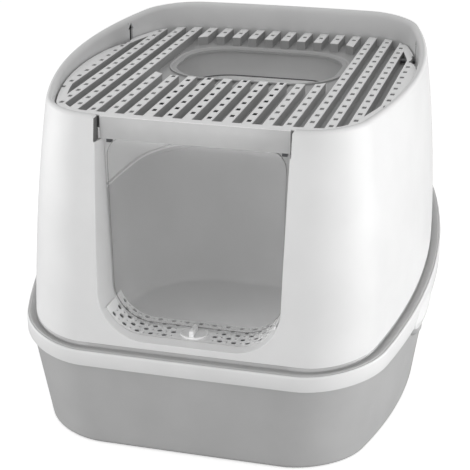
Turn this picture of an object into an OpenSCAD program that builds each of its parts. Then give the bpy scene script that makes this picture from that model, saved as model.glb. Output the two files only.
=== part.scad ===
// Top entry litter box: a tub, a white hood with a front doorway, and a hinged top grate.
// Frame: X to the right, Y to the back, Z up. The origin is the middle of the box on the floor.

/* [Locking ring and tub rim] */

// Half of the overall width, at the widest point of the locking ring
flange_half_width = 216.4; // [200:0.1:230]
// Overall depth, front to back of the locking ring
flange_depth = 463.6; // [440:0.1:490]
// Plan radius of the two front corners of the locking ring
flange_front_radius = 60.5; // [45:0.5:75]
// Plan radius of the two rear corners of the locking ring
flange_rear_radius = 79; // [60:0.5:90]
// How far the sides draw in 200 mm away from the widest point
flange_bow = 36.7; // [20:0.1:45]
// Height above the floor of the line where hood and tub meet, at mid depth
groove_height = 152; // [146:0.5:158]
// Rise of that line per mm towards the back
groove_rise = 0.172; // [0.15:0.001:0.18]
// Height of the lower edge of the locking ring at mid depth
skirt_height = 128.1; // [122:0.5:132]
// Rise of that edge per mm towards the back
skirt_rise = 0.15; // [0.14:0.001:0.17]
// Thickness of the locking ring and of the hood wall
hood_wall = 2.8; // [2.4:0.1:3.4]

/* [Rim of the hood] */

// Half width of the rim at its widest point
rim_half_width = 190.9; // [186:0.1:196]
// Distance from the middle to the front of the rim
rim_front = 201; // [198:0.1:204]
// Distance from the middle to the back of the rim
rim_rear = 206.7; // [203:0.1:212]
// Plan radius of the front corners of the rim
rim_front_radius = 42; // [34:0.5:50]
// Plan radius of the rear corners of the rim
rim_rear_radius = 46; // [38:0.5:54]
// How far the rim sides draw in 200 mm away from the widest point
rim_bow = 41.4; // [36:0.1:44]
// How far the front and back of the rim curve in towards the corners
rim_end_bow = 8; // [0:0.5:10]
// Height of the rim crest at mid depth
rim_height = 358.6; // [354:0.5:364]
// Rise of the rim per mm towards the back
rim_rise = 0.068; // [0.06:0.001:0.075]
// Width of the rounded rim, outside to inside
rim_band = 9.4; // [8:0.1:10]
// Outward bulge of the wall half way up
wall_bulge = 3.4; // [0:0.1:5]

/* [Tub] */

// Half width of the tub where it meets the floor
tub_foot_half_width = 193.4; // [188:0.2:204]
// Slope inset of the tub foot at the front
tub_foot_front_inset = 10.6; // [8:0.2:14]
// Slope inset of the tub foot at the back
tub_foot_rear_inset = 22; // [16:0.5:28]
// Wall thickness of the tub
tub_wall = 3; // [2.6:0.1:3.6]
// Thickness of the tub floor
tub_floor = 3; // [2.6:0.1:4]
// Gap between the tub and the locking ring around it
skirt_gap = 0.3; // [0.2:0.1:0.5]

/* [Top grate] */

// Height of the top of the grate
grate_top = 342.7; // [341:0.1:344]
// Thickness of the grate, bars and floor together
grate_thickness = 12.7; // [11:0.1:14]
// Depth of the grooves between the bars
groove_depth = 10; // [8:0.5:10.5]
// Gap between the edge of the grate and the rim
grate_gap = 2; // [1.5:0.1:2.4]
// Spacing of the bars
bar_pitch = 19.5; // [19:0.1:20]
// Width of a bar
bar_width = 9.5; // [8.5:0.1:10.5]
// Spacing of the slots along a bar
slot_pitch = 22.5; // [20:0.5:24]
// Slot width across the bar
slot_width = 4.4; // [3.6:0.1:5]
// Slot length along the bar
slot_length = 7.5; // [5:0.1:9]
// Depth of the blind slots
slot_depth = 1.6; // [1:0.1:3]
// Half width of the front skirt of the grate
fascia_half_width = 93.6; // [92:0.1:94.2]
// Height of the front skirt of the grate
fascia_height = 22.4; // [20:0.1:24]
// Where the grate turns, measured back from the middle
lid_hinge_y = 116; // [110:1:122]
// Diameter of the grate hinge pins
lid_pin_diameter = 4.7; // [4:0.1:5]

/* [Entry hole] */

// Half width of the recess round the entry hole
recess_half_width = 101; // [98:0.5:103]
// Front of the recess
recess_front = -30.6; // [-34:0.2:-26]
// Back of the recess
recess_rear = 151; // [146:0.5:154]
// Half width of the entry hole
hole_half_width = 86; // [80:0.5:88]
// Front of the entry hole
hole_front = 8; // [2:0.5:14]
// Back of the entry hole
hole_rear = 130; // [124:0.5:134]
// Corner radius of the entry hole
hole_radius = 46; // [36:0.5:52]

/* [Doorway and door] */

// Half width of the doorway at the rim, on the outside
door_top_half = 95.4; // [94:0.1:97]
// Half width of the doorway above its lower corners, on the outside
door_low_half = 92.4; // [90:0.1:94]
// Height of the doorway edge above the floor, on the outside
door_low_z = 122; // [120:0.2:123]
// Corner radius of the doorway, on the outside
door_low_radius = 48; // [42:0.5:52]
// How far the doorway narrows towards the door
reveal_step = 3.6; // [3:0.1:4.5]
// Height of the sill in front of the door
sill_z = 125.4; // [124:0.1:126]
// Corner radius of the sill
sill_radius = 42; // [38:0.5:46]
// Front face of the door
door_face_y = -187; // [-188:0.1:-186]
// Thickness of the door
door_thickness = 2.4; // [2:0.1:3]
// Gap between the door and the doorway at the sides
door_gap = 2; // [1.6:0.1:2.4]
// Gap between the door and the sill
door_sill_gap = 2.4; // [2:0.1:3]
// Radius of the two top corners of the door
door_top_radius = 21; // [16:0.5:26]
// Height of the door hinge rod
door_rod_z = 323.5; // [323:0.1:324]
// Diameter of the door hinge rod
door_rod_diameter = 3; // [2.6:0.1:3.4]

/* [Sill strip and turn knob] */

// Front edge of the sill strip
strip_front = -211.2; // [-212:0.1:-210]
// Back edge of the sill strip
strip_rear = -148; // [-150:0.5:-146]
// Thickness of the sill strip
strip_thickness = 1.2; // [1:0.1:1.8]
// Spacing of the perforations across the strip
hole_pitch = 14.3; // [14:0.1:14.8]
// Spacing of the perforation rows
row_pitch = 8.2; // [7.6:0.1:8.4]
// Diameter of the large perforations
large_hole = 5.4; // [4.6:0.1:5.8]
// Diameter of the small perforations
small_hole = 2.2; // [1.8:0.1:2.6]
// Diameter of the turn knob
knob_diameter = 28; // [26:0.5:29]
// Where the turn knob sits, measured from the middle
knob_y = -195; // [-196:0.2:-194]
// Height of the turn knob disc above the sill
knob_rise = 0.9; // [0.6:0.1:1.1]
// Height of the fin above the sill
fin_height = 7; // [5:0.2:8]
// Thickness of the fin
fin_thickness = 5; // [4:0.2:6]

/* [Side grips] */

// Where the tabs of the locking ring sit, measured from the middle
tab_y = -71; // [-78:1:-64]
// Width of a tab along the side
tab_width = 62; // [50:1:70]
// How far a tab hangs below the edge of the ring
tab_drop = 9; // [6:0.5:11]
// How far a tab stands out from the ring
tab_out = 3.4; // [2:0.2:5]
// Where the grip lugs of the tub sit, measured from the middle
lug_y = -88; // [-94:1:-82]
// Height of the grip lugs above the floor
lug_z = 91; // [88:0.5:94]
// Radius of a grip lug
lug_radius = 8; // [6:0.5:9]
// Straight length of a grip lug
lug_length = 14; // [8:1:20]

/* [Hidden] */

$fa = 6;
$fs = 0.6;

tub_grey = [0.62, 0.63, 0.65];
hood_white = [0.93, 0.93, 0.92];
grate_grey = [0.72, 0.73, 0.74];
smoke = [0.45, 0.46, 0.48, 0.5];
dark = [0.25, 0.25, 0.26];

// A plan is [half width, front, back, front radius, rear radius, side bow, widest at, end bow].
flange = [flange_half_width, -flange_depth / 2, flange_depth / 2, flange_front_radius,
  flange_rear_radius, flange_bow, -2.9, 1.1];
rim = [rim_half_width, -rim_front, rim_rear, rim_front_radius, rim_rear_radius,
  rim_bow, 2.8, rim_end_bow];
tub_foot = [tub_foot_half_width, -flange_depth / 2 + tub_foot_front_inset,
  flange_depth / 2 - tub_foot_rear_inset, 55.7, 74, flange_bow, -2.9, 1.1];

function inset(v, e) = [v[0] - e, v[1] + e, v[2] - e, v[3] - e, v[4] - e, v[5], v[6], v[7]];
function mix(v, w, t) = [for (i = [0:7]) v[i] * (1 - t) + w[i] * t];
function bow(v, y) = v[5] * pow((y - v[6]) / 200, 2);
function arc_points(cx, cy, r, a0, a1, n) =
  [for (i = [0:n]) [cx + r * cos(a0 + (a1 - a0) * i / n), cy + r * sin(a0 + (a1 - a0) * i / n)]];

// Right half of a plan before it is bowed, from front centre to back centre.
function half_raw(v) = concat(
  [for (i = [0:3]) [bow(v, v[1]) + (v[0] - v[3] - bow(v, v[1])) * i / 4, v[1]]],
  arc_points(v[0] - v[3], v[1] + v[3], v[3], -90, 0, 8),
  [for (i = [1:11]) [v[0], v[1] + v[3] + (v[2] - v[4] - v[1] - v[3]) * i / 12]],
  arc_points(v[0] - v[4], v[2] - v[4], v[4], 0, 90, 8),
  [for (i = [1:4]) [v[0] - v[4] + (bow(v, v[2]) - v[0] + v[4]) * i / 4, v[2]]]);
function bowed(v, p) = [p[0] - bow(v, p[1]), p[1] - v[7] * pow((p[0] - bow(v, p[1])) / v[0], 2)
  * (2 * p[1] - v[1] - v[2]) / (v[2] - v[1])];
function plan(v) = let (h = [for (p = half_raw(v)) bowed(v, p)], n = len(h))
  concat(h, [for (i = [n - 2:-1:1]) [-h[i][0], h[i][1]]]);
function ring(v, z, k) = [for (p = plan(v)) [p[0], p[1], z + k * p[1]]];

// Solid through a stack of rings, closed at both ends.
module stack(rings) {
  n = len(rings[0]);
  m = len(rings);
  points = [for (r = rings) each r];
  walls = [for (i = [0:m - 2]) for (j = [0:n - 1])
    let (a = i * n + j, b = i * n + (j + 1) % n, c = b + n, d = a + n)
    each [[a, d, c], [a, c, b]]];
  floor_cap = [[for (j = [0:n - 1]) j]];
  top_cap = [[for (j = [n - 1:-1:0]) (m - 1) * n + j]];
  polyhedron(points = points, faces = concat(walls, floor_cap, top_cap), convexity = 10);
}

// Solid through rings that come back to the first one.
module loop(rings) {
  n = len(rings[0]);
  m = len(rings);
  points = [for (r = rings) each r];
  walls = [for (i = [0:m - 1]) for (j = [0:n - 1])
    let (a = i * n + j, b = i * n + (j + 1) % n)
    let (d = ((i + 1) % m) * n + j, c = ((i + 1) % m) * n + (j + 1) % n)
    each [[a, d, c], [a, c, b]]];
  polyhedron(points = points, faces = walls, convexity = 12);
}

// Height lines that climb towards the back.
gz = groove_height;
gk = groove_rise;
sz = skirt_height;
sk = skirt_rise;
rz = rim_height;
rk = rim_rise;
foot_in = inset(flange, 11);
wall_lift = 1.5;
rim_drop = 5;

// Ring of the hood wall: t runs from the groove to the rim, e is the depth below the outer face.
function wall_ring(t, e) = ring(
  inset(mix(foot_in, rim, t), e - wall_bulge * 4 * t * (1 - t)),
  (gz + wall_lift) * (1 - t) + (rz - rim_drop) * t, gk * (1 - t) + rk * t);

ring_rings = [
  ring(inset(flange, 0.6), sz, sk),
  ring(inset(flange, 0), sz + 1, sk),
  ring(inset(flange, 0), gz - 5, gk),
  ring(inset(flange, 0.3), gz - 3.6, gk),
  ring(inset(flange, 1.2), gz - 2.2, gk),
  ring(inset(flange, 2.5), gz - 1.7, gk),
  ring(inset(flange, 3.8), gz - 2, gk),
  ring(inset(flange, 4.4), gz - 2.9, gk),
  ring(inset(flange, 4), gz - 3.8, gk),
  ring(inset(flange, 3), gz - 4.8, gk),
  ring(inset(flange, 2.7), gz - 7, gk),
  ring(inset(flange, 2.7), sz, sk)];

hood_rings = [
  ring(inset(flange, 11.7), gz + 0.03, gk),
  ring(inset(flange, 11.1), gz + 0.6, gk),
  wall_ring(0, 0), wall_ring(0.17, 0), wall_ring(0.34, 0), wall_ring(0.52, 0),
  wall_ring(0.7, 0), wall_ring(0.86, 0), wall_ring(1, 0),
  ring(inset(rim, 0.7), rz - 2.2, rk),
  ring(inset(rim, 2.3), rz - 0.6, rk),
  ring(inset(rim, 4.5), rz, rk),
  ring(inset(rim, 6.8), rz - 1, rk),
  ring(inset(rim, 8.6), rz - 3.2, rk),
  ring(inset(rim, rim_band), rz - 6.3, rk),
  ring(inset(rim, rim_band + 0.2), grate_top - 21.7, 0),
  wall_ring(0.66, hood_wall), wall_ring(0.44, hood_wall), wall_ring(0.22, hood_wall),
  wall_ring(0, hood_wall),
  ring(inset(flange, 17.2), gz + 1.5, gk),
  ring(inset(flange, 17.2), gz - 6.5, gk),
  ring(inset(flange, 14.6), gz - 6.5, gk),
  ring(inset(flange, 14.6), gz + 0.03, gk)];

tub_rim = inset(flange, hood_wall + skirt_gap);
tub_z = gz - 7;
function tub_ring(t, e) = ring(inset(mix(tub_foot, tub_rim, t), e), 5 + (tub_z - 5) * t, gk * t);

tub_rings = [
  ring(inset(tub_foot, 5), 0, 0),
  ring(inset(tub_foot, 2.6), 0.6, 0),
  ring(inset(tub_foot, 0.9), 2.2, 0),
  tub_ring(0, 0), tub_ring(0.35, 0), tub_ring(0.7, 0), tub_ring(1, 0),
  ring(inset(tub_rim, 0.5), gz - 5.3, gk),
  ring(inset(flange, 4.6), gz - 4.1, gk),
  ring(inset(flange, 5), gz - 2.9, gk),
  ring(inset(flange, 6.5), gz - 2.5, gk),
  ring(inset(flange, 8.6), gz - 1.6, gk),
  ring(inset(flange, 10.4), gz - 0.4, gk),
  ring(inset(flange, 11.2), gz, gk),
  ring(inset(flange, 14), gz, gk),
  ring(inset(flange, 14), gz - 3, gk),
  ring(inset(flange, 8.6), gz - 5.4, gk),
  ring(inset(tub_rim, tub_wall), gz - 10.5, gk),
  tub_ring(0.7, tub_wall), tub_ring(0.35, tub_wall),
  ring(inset(tub_foot, tub_wall + 0.6), 9, 0),
  ring(inset(tub_foot, tub_wall + 2.5), 5, 0),
  ring(inset(tub_foot, tub_wall + 7), tub_floor, 0)];

// Front face of the hood wall at x across and z up.
groove_front_z = gz + wall_lift - 221 * gk;
rim_front_z = rz - rim_drop - 201 * rk;
function face_t(z) = (z - groove_front_z) / (rim_front_z - groove_front_z);
function face_y(x, z) = let (t = face_t(z))
  (foot_in[1] + 1.1 * pow(x / 205, 2)) * (1 - t) + (rim[1] + rim[7] * pow(x / rim[0], 2)) * t
  - wall_bulge * 4 * t * (1 - t);

// Doorway line: [x, z] from the top left, round the bottom, to the top right.
door_top_z = grate_top - fascia_height - 1;
function door_line(low, top, z, r, grow) = let (w = low + grow, u = top + grow, b = z - grow, q = r + grow)
  let (left = concat([for (i = [0:4]) [-u + (u - w) * i / 5, door_top_z - (door_top_z - b - q) * i / 5]],
    arc_points(-(w - q), b + q, q, 180, 270, 9)))
  concat(left, [for (i = [len(left) - 1:-1:0]) [-left[i][0], left[i][1]]]);
function outer_line(grow) = door_line(door_low_half, door_top_half, door_low_z, door_low_radius, grow);
function inner_line(grow) = door_line(door_low_half - reveal_step, door_top_half - reveal_step,
  sill_z, sill_radius, grow);
function lifted(line, z) = concat([[line[0][0], z]], line, [[line[len(line) - 1][0], z]]);

reveal_wall = 3.2;
reveal_rear = -184;
ledge_rear = strip_front - 0.3;
function rear_y(z) = z > sill_z + 43.6 ? reveal_rear
  : z < sill_z + 29.6 ? ledge_rear
  : ledge_rear + (reveal_rear - ledge_rear) * (z - sill_z - 29.6) / 14;

module doorway_reveal() {
  a = outer_line(0);
  b = outer_line(reveal_wall);
  c = inner_line(0);
  d = inner_line(reveal_wall);
  stack([for (i = [0:len(a) - 1]) let (y0 = face_y(a[i][0], a[i][1]) - 0.5, y1 = rear_y(a[i][1]))
    [[a[i][0], y0, a[i][1]], [b[i][0], y0, b[i][1]], [d[i][0], y1, d[i][1]], [c[i][0], y1, c[i][1]]]]);
}

module doorway_cut() {
  line = lifted(outer_line(1.6), 420);
  stack([[for (p = line) [p[0], -182, p[1]]], [for (p = line) [p[0], -250, p[1]]]]);
}

grate = inset(rim, rim_band + grate_gap);
grate_low = grate_top - grate_thickness;
groove_floor = grate_top - groove_depth;
pin_z = grate_top - grate_thickness / 2;
function grate_side(y) = grate[0] - bow(grate, y);
notch_half = lid_pin_diameter / 2 + 0.06;
pin_tip = grate_side(lid_hinge_y) + grate_gap + 4;

module pin_notches() {
  for (s = [-1, 1])
    translate([s * (pin_tip - 4), lid_hinge_y, pin_z]) {
      rotate([0, 90, 0])
        cylinder(r = notch_half, h = 9, center = true);
      translate([-4.5, -notch_half, 0])
        cube([9, 2 * notch_half, 60]);
    }
}

// Six ribs under the front and side edges that the grate rests on.
rest_front_inset = 64.9;
rest_inset = 10.9;
module grate_rests() {
  for (s = [-1, 1]) {
    translate([s * (rim_half_width - rest_front_inset) - 3, 7 - rim_front, grate_low - 14])
      cube([6, 18, 14]);
    for (side = [[rest_inset + 16, -60], [rest_inset + 15, 40]])
      translate([s * (rim_half_width - side[0] + 8) - 8, side[1], grate_low - 14])
        cube([16, 6, 14]);
  }
}

function flange_side(y) = flange[0] - bow(flange, y);
function side_turn(y) = atan(2 * flange_bow * (y - flange[6]) / 40000);

// Places a grip on the flange side at y, with X outward and Y along the wall.
module at_side(s, y, z) {
  scale([s, 1, 1])
    translate([flange_side(y), y, z])
      rotate([0, 0, side_turn(y)])
        children();
}

// Tab of the locking ring: two arcs that meet in a lens, standing off its side.
module lift_tabs() {
  sag = tab_drop + 1;
  r = (pow(tab_width / 2, 2) + sag * sag) / (2 * sag);
  for (s = [-1, 1])
    at_side(s, tab_y, sz + sk * tab_y)
      rotate([atan(sk), 0, 0])
        intersection() {
          translate([-1.4, 0, r - tab_drop])
            rotate([0, 90, 0])
              cylinder(r = r, h = tab_out + 1.4, $fa = 2);
          translate([-1.4, 0, tab_drop - r + 2])
            rotate([0, 90, 0])
              cylinder(r = r, h = tab_out + 1.4, $fa = 2);
        }
}

// Half width of the tub wall at a place on its side.
function tub_side(y, z) =
  let (t = (z - 5) / (tub_z - 5 + gk * y), v = mix(tub_foot, tub_rim, t)) v[0] - bow(v, y);

// Rounded lug on the tub wall below each tab.
module grip_lugs() {
  for (s = [-1, 1])
    scale([s, 1, 1])
      translate([tub_side(lug_y, lug_z) + lug_stand, lug_y, lug_z])
        rotate([0, 0, side_turn(lug_y)])
          rotate([0, -8, 0])
            intersection() {
              translate([lug_proud - lug_radius, 0, 0]) {
                rotate([90, 0, 0])
                  cylinder(r = lug_radius, h = lug_length, center = true);
                for (e = [-1, 1])
                  translate([0, e * lug_length / 2, 0])
                    sphere(r = lug_radius, $fn = 40);
              }
              translate([-10.3, -40, -40])
                cube([30, 80, 80]);
            }
}
lug_proud = 2.6;
lug_stand = 9.29389;

// White ring that snaps round the tub just under its rim.
module rim_ring() {
  color(hood_white) {
    loop(ring_rings);
    lift_tabs();
  }
}

module hood() {
  color(hood_white) {
    difference() {
      loop(hood_rings);
      doorway_cut();
      pin_notches();
    }
    doorway_reveal();
    grate_rests();
  }
}

module base_tray() {
  color(tub_grey) {
    stack(tub_rings);
    grip_lugs();
  }
}

strip_flat = door_low_half - reveal_step - sill_radius;
strip_turn = 68;
strip_length = strip_rear - strip_front;

strip_start = 270 - strip_turn;

module strip_band() {
  r = sill_radius;
  q = sill_radius + strip_thickness;
  translate([0, strip_rear, sill_z + r])
    rotate([90, 0, 0])
      linear_extrude(strip_length)
        polygon(concat(
          arc_points(-strip_flat, 0, q, strip_start, 270, 14),
          arc_points(strip_flat, 0, q, 270, 270 + strip_turn, 14),
          arc_points(strip_flat, 0, r, 270 + strip_turn, 270, 14),
          arc_points(-strip_flat, 0, r, 270, strip_start, 14)));
}

// Cutter for one perforation, s mm along the strip from its middle.
module perforation(s, y, d) {
  a = max(abs(s) - strip_flat, 0) / sill_radius * 180 / PI;
  translate([sign(s) * min(abs(s), strip_flat), y, sill_z + sill_radius])
    rotate([0, sign(s) * -a, 0])
      translate([0, 0, -sill_radius - strip_thickness - 1])
        cylinder(d = d, h = strip_thickness + 4, $fn = 20);
}

module perforations() {
  for (row = [0:6])
    for (col = [-12:12])
      let (s = col * hole_pitch / 2, y = strip_front + 6 + row * row_pitch)
        if (norm([s, y - knob_y]) > knob_diameter / 2 + 3.6)
          perforation(s, y, (col + row) % 2 == 0 ? large_hole : small_hole);
}

module sill_strip() {
  color(hood_white)
    difference() {
      strip_band();
      perforations();
      translate([0, knob_y, sill_z - 10])
        cylinder(r = knob_stem + 0.05, h = 20);
    }
}

knob_stem = 5;
retainer_z = sill_z - strip_thickness - 0.2;

module latch_knob() {
  color(hood_white) {
    translate([0, knob_y, sill_z])
      cylinder(d = knob_diameter, h = knob_rise);
    translate([0, knob_y, sill_z - strip_thickness - 5])
      cylinder(r = knob_stem, h = strip_thickness + 5.2);
    translate([-fin_thickness / 2, knob_y - knob_diameter / 2 + 1.4, sill_z + 0.2])
      cube([fin_thickness, knob_diameter / 2 + 2.4, fin_height - 2.2]);
    translate([0, knob_y - knob_diameter / 2 + 1.4, sill_z + fin_height - 2.5])
      rotate([-90, 0, 0])
        cylinder(d = fin_thickness, h = knob_diameter / 2 + 2.4);
  }
}

module latch_retainer() {
  color(dark)
    translate([0, knob_y, retainer_z - 2])
      difference() {
        cylinder(r = knob_stem + 4, h = 2);
        translate([0, 0, -1])
          cylinder(r = knob_stem + 0.01, h = 4);
      }
}

module plan_prism(v, z0, z1) {
  translate([0, 0, z0])
    linear_extrude(z1 - z0)
      polygon([for (p = plan(v)) p]);
}

module rounded_box(w, y0, y1, r, z0, z1) {
  translate([0, 0, z0])
    linear_extrude(z1 - z0)
      polygon(concat(arc_points(w - r, y0 + r, r, -90, 0, 10), arc_points(w - r, y1 - r, r, 0, 90, 10),
        arc_points(r - w, y1 - r, r, 90, 180, 10), arc_points(r - w, y0 + r, r, 180, 270, 10)));
}

module bar_grooves() {
  intersection() {
    union() {
      plan_prism(inset(grate, 9), groove_floor, grate_top + 5);
      translate([-150, 140, groove_floor])
        cube([300, 90, 20]);
    }
    for (j = [1:17])
      translate([(j - 9) * bar_pitch - (bar_pitch - bar_width) / 2, -230, groove_floor])
        cube([bar_pitch - bar_width, 460, 20]);
  }
}

// Slots of bar i from its front end to y1, black ones go right through.
module bar_slots(i) {
  x = (i - 9.5) * bar_pitch;
  middle = i > 4 && i < 15;
  start = -grate_front(x) + 16 + (i % 2 == 0 ? 0 : slot_pitch / 2);
  last = middle ? recess_front - 5 : grate[2] - 22;
  count = floor((last - start) / slot_pitch);
  for (k = [0:count])
    let (open = i > 6 && i < 13 && k > 0 && (i % 2 == 0 || k < count))
      translate([x - slot_width / 2, start + k * slot_pitch, open ? grate_low - 1 : grate_top - slot_depth])
        cube([slot_width, slot_length, 20]);
  if (middle)
    translate([x - slot_width / 2, recess_rear + 18, grate_top - slot_depth])
      cube([slot_width, slot_length, 20]);
}

// Distance from the middle to the front edge of the grate at x across.
function grate_front(x) = abs(x) < 110 ? -grate[1] : -grate[1] - pow((abs(x) - 110) / 60, 2) * 40;

// Sides cut back in front of the pins, so that the grate can tip up between the walls.
module hinge_relief() {
  e = grate_side(lid_hinge_y) - 1;
  h = lid_hinge_y;
  for (s = [-1, 1])
    scale([s, 1, 1])
      translate([0, 0, grate_low - 1])
        linear_extrude(grate_thickness + 2)
          polygon([[grate_side(h - 68) + 0.1, h - 68], [e + 8.7, h - 50], [e + 6.4, h - 42],
            [e + 4.3, h - 36], [e + 2.3, h - 32], [e - 0.6, h - 28], [e, h + 2],
            [e + 30, h + 2], [e + 30, h - 68]]);
}

module lid_grate() {
  color(grate_grey)
    difference() {
      union() {
        plan_prism(grate, grate_low, grate_top);
        translate([-fascia_half_width, -191.2, grate_top - fascia_height])
          cube([2 * fascia_half_width, 2.8, fascia_height]);
        translate([-fascia_half_width, -190, grate_low])
          cube([2 * fascia_half_width, 8, grate_thickness]);
      }
      bar_grooves();
      rounded_box(recess_half_width, recess_front, recess_rear, 32, groove_floor, grate_top + 5);
      rounded_box(hole_half_width + 4, hole_front - 4, hole_rear + 4, hole_radius + 4, 300, 400);
      for (i = [1:18])
        bar_slots(i);
      hinge_relief();
      for (s = [-1, 1])
        translate([s * (pin_tip - 16), lid_hinge_y, pin_z])
          rotate([0, 90, 0])
            cylinder(d = lid_pin_diameter + 0.02, h = 24, center = true);
    }
}

// Dished collar that drops into the hole of the grate.
module entry_funnel() {
  color(grate_grey)
    difference() {
      union() {
        rounded_box(hole_half_width + 12, hole_front - 12, hole_rear + 12, hole_radius + 12,
          groove_floor, groove_floor + 1.6);
        rounded_box(hole_half_width + 3.8, hole_front - 3.8, hole_rear + 3.8, hole_radius + 3.8,
          grate_low - 10, groove_floor + 1);
      }
      rounded_box(hole_half_width, hole_front, hole_rear, hole_radius, 290, 400);
    }
}

module lid_hinge_pins() {
  color(dark)
    for (s = [-1, 1])
      translate([s * (pin_tip - 13), lid_hinge_y, pin_z])
        rotate([0, 90, 0])
          cylinder(d = lid_pin_diameter, h = 26, center = true);
}

rod_y = door_face_y + 4;
rod_half = 90;

module door_hangers() {
  color(dark)
    for (s = [-1, 1])
      translate([s * 87, rod_y, 0])
        difference() {
          union() {
            translate([-2.5, -3.8, door_rod_z - 1])
              cube([5, 7.6, grate_low - door_rod_z + 1]);
            translate([-2.5, 0, door_rod_z])
              rotate([0, 90, 0])
                cylinder(r = 3.8, h = 5);
            translate([-2.5, -2.5, door_rod_z - 8.5])
              cube([5, 5, 7]);
          }
          translate([-5, 0, door_rod_z])
            rotate([0, 90, 0])
              cylinder(d = door_rod_diameter + 0.02, h = 10);
        }
}

module door_hinge_rod() {
  color(dark)
    translate([0, rod_y, door_rod_z])
      rotate([0, 90, 0])
        cylinder(d = door_rod_diameter, h = 2 * rod_half, center = true);
}

door_low = sill_z + door_sill_gap;
door_high = door_rod_z - 1.5;
door_half_low = door_low_half - reveal_step - door_gap;
door_half_high = door_top_half - reveal_step - door_gap - 0.6;

module door_flap() {
  color(smoke)
    difference() {
      union() {
        translate([0, door_face_y + door_thickness, 0])
          rotate([90, 0, 0])
            linear_extrude(door_thickness)
              polygon(concat(
                arc_points(-(door_half_low - 40), door_low + 40, 40, 180, 270, 12),
                arc_points(door_half_low - 40, door_low + 40, 40, 270, 360, 12),
                arc_points(door_half_high - door_top_radius, door_high - door_top_radius,
                  door_top_radius, 0, 90, 8),
                arc_points(-(door_half_high - door_top_radius), door_high - door_top_radius,
                  door_top_radius, 90, 180, 8)));
        translate([-64, rod_y, door_rod_z])
          rotate([0, 90, 0])
            cylinder(r = 3.6, h = 128);
        translate([-64, door_face_y, door_rod_z - 4])
          cube([128, door_thickness, 4]);
      }
      translate([-100, rod_y, door_rod_z])
        rotate([0, 90, 0])
          cylinder(d = door_rod_diameter + 0.12, h = 200);
    }
}

base_tray();
rim_ring();
hood();
sill_strip();
latch_knob();
latch_retainer();
lid_grate();
entry_funnel();
lid_hinge_pins();
door_hangers();
door_hinge_rod();
door_flap();
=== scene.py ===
from math import atan, cos, pi, radians, sin, sqrt

import bmesh
import bpy
from mathutils import Matrix, Vector


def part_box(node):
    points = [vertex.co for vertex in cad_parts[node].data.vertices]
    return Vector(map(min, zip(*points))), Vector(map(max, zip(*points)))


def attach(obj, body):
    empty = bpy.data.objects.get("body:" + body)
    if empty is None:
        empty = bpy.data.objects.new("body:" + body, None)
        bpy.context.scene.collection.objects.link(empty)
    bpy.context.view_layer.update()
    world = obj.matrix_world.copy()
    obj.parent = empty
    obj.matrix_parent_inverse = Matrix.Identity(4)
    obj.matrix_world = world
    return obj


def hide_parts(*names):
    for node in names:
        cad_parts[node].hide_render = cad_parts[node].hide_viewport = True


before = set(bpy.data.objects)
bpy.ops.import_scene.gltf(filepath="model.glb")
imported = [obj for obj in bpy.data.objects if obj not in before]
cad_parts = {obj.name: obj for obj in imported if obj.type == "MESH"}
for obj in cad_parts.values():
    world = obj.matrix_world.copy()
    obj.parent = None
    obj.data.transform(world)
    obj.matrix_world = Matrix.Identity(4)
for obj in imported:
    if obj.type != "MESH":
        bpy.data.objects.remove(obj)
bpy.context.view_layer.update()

bl_info = {
    "name": "Top Entry Litter Box",
    "version": (1, 0, 0),
    "blender": (4, 5, 0),
    "location": "3D Viewport > Sidebar > Litter Box",
    "description": "Dresses the parts of a litter box with a tipping top grate and a smoky front door",
    "category": "Add Mesh",
}

MM = 0.001


# Colours


def linear(code):
    """An sRGB hex colour as linear red, green, blue and alpha."""
    parts = [int(code[i:i + 2], 16) / 255 for i in (1, 3, 5)]
    return tuple(c / 12.92 if c <= 0.04045 else ((c + 0.055) / 1.055) ** 2.4 for c in parts) + (1.0,)


def colour(name, description, code):
    """A colour that the sidebar can change."""
    return bpy.props.FloatVectorProperty(name=name, description=description, subtype="COLOR",
                                         size=4, min=0, max=1, default=linear(code))


def length(name, description, mm):
    """A length that the sidebar can change, given in millimetres."""
    return bpy.props.FloatProperty(name=name, description=description, default=mm * MM,
                                   subtype="DISTANCE", unit="LENGTH", precision=4)


class BoxSizes(bpy.types.PropertyGroup):
    """Sizes of the visible shells, the same as in the solids that they cover."""
    ring_half_width: length("Ring half width", "Half width of the locking ring at its widest", 216.4)
    ring_depth: length("Ring depth", "Locking ring, front to back", 463.6)
    seat_height: length("Seat height", "Line where hood and tub meet, at mid depth", 152)
    skirt_height: length("Skirt height", "Lower edge of the locking ring, at mid depth", 128.1)
    rim_half_width: length("Rim half width", "Half width of the hood rim at its widest", 190.9)
    rim_height: length("Rim height", "Crest of the hood rim at mid depth", 358.6)
    wall_bulge: length("Wall bulge", "How far the hood wall swells half way up", 3.4)
    hood_wall: length("Hood wall", "Thickness of the hood wall", 2.8)
    grate_top: length("Grate top", "Height of the top of the grate", 342.7)
    edge_round: length("Edge rounding", "Rounding of the grate's bars and slots", 0.55)
    door_thickness: length("Door thickness", "Thickness of the swing door", 2.4)
    knob_diameter: length("Knob diameter", "Diameter of the turn knob", 28)


class BoxColours(bpy.types.PropertyGroup):
    """Colours of the moulded parts."""
    hood: colour("Hood", "White of the hood and the locking ring", "#E6E6E6")
    hood_shade: colour("Hood shade", "Slightly duller white where the melt flowed slower", "#E1E1E1")
    tub: colour("Tub", "Grey of the tub", "#B6B6B6")
    tub_shade: colour("Tub shade", "Second grey of the tub", "#B1B1B1")
    grate: colour("Grate", "Light grey of the grate", "#CDCDCD")
    grate_shade: colour("Grate shade", "Second grey of the grate", "#C6C6C6")
    door: colour("Door", "Tint of the smoky door", "#BCBCBC")
    pin: colour("Pins", "Dark grey of pins and hangers", "#5A5B5D")


# Plans: half width, front, back, front radius, rear radius, side bow, widest at, end bow.


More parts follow.
